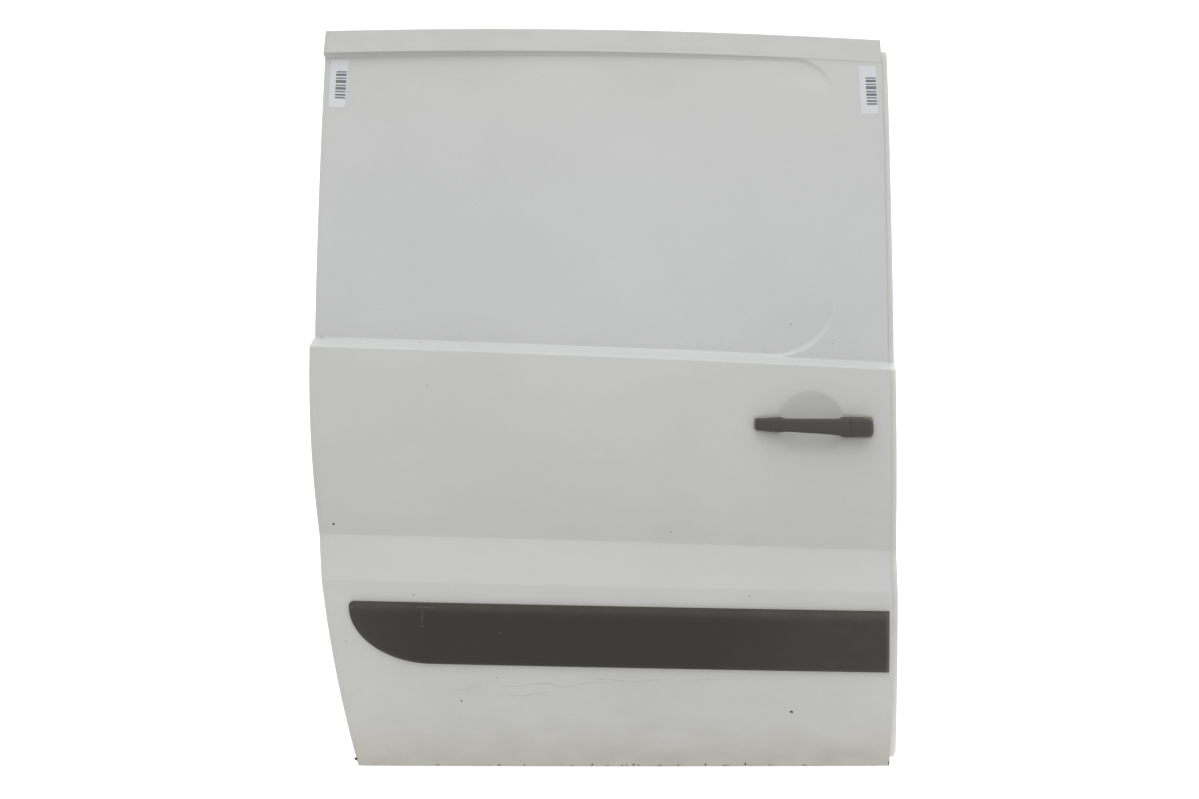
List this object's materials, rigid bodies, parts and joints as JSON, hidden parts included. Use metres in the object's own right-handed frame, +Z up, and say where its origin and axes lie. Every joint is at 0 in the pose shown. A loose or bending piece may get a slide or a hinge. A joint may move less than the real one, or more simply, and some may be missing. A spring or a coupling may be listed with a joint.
{
  "type": "van sliding side door",
  "caption": "Solid sliding side door of a panel van, right-hand side, with blind window recess, pull handle, side moulding and roller arms.",
  "frame": {"origin": "on the flat top face of the lower roller arm, behind the door's inner face near its lower front corner", "axes": "+X towards the front of the vehicle, +Y into the vehicle, +Z up; the outer face looks towards -Y"},
  "size_m": [1.075, 0.3064, 1.385],
  "materials": {
    "body_paint": "old off-white gloss paint, dusty and scratched",
    "inner_paint": "thin white body paint over primer",
    "zinc_steel": "zinc-plated steel",
    "black_steel": "black electro-coated steel",
    "damping_foam": "matt damping sheet",
    "grey_plastic": "grained dark grey plastic, weathered",
    "black_plastic": "matt black plastic",
    "gasket": "aged pale rubber",
    "roller_plastic": "hard roller plastic",
    "rubber": "matt black rubber"
  },
  "bodies": {
    "door": {"outer_skin": "body_paint", "window_frame": "inner_paint", "inner_panel": "inner_paint", "front_flange": "body_paint", "waist_rail": "zinc_steel", "crash_beam": "black_steel", "beam_brackets": "black_steel", "damping_pads": "damping_foam", "side_moulding": "grey_plastic", "handle_pads": "gasket", "handle_cap": "grey_plastic", "handle_pivot_block": "black_plastic", "handle_pivot_pin": "zinc_steel", "handle_guide_block": "black_plastic", "front_latch": "black_steel", "front_claw": "zinc_steel", "rear_latch": "black_steel", "rear_claw": "zinc_steel", "release_plate": "zinc_steel", "inner_handle_bezel": "black_plastic", "inner_handle_lever": "black_plastic", "upper_arm": "black_steel", "upper_roller": "roller_plastic", "lower_arm": "black_steel", "lower_guide_rollers": "roller_plastic", "lower_load_roller": "roller_plastic", "hinge_bracket": "black_steel", "hinge_pin": "zinc_steel", "hinge_arm": "black_steel", "hinge_guide_rollers": "roller_plastic", "hinge_load_roller": "roller_plastic", "rubber_buffers": "rubber", "hole_plugs": "rubber"},
    "handle": {"handle_grip": "grey_plastic"}
  },
  "joints": [
    {"name": "handle_pull", "type": "hinge", "parent": "door", "child": "handle", "pos_m": [-0.13024, -0.18135, 0.54429], "axis": [0.0009, -0.0504, -0.9987], "range_deg": [0, 14], "stiffness_Nm_per_rad": 1.5, "springref_deg": -11.46}
  ]
}
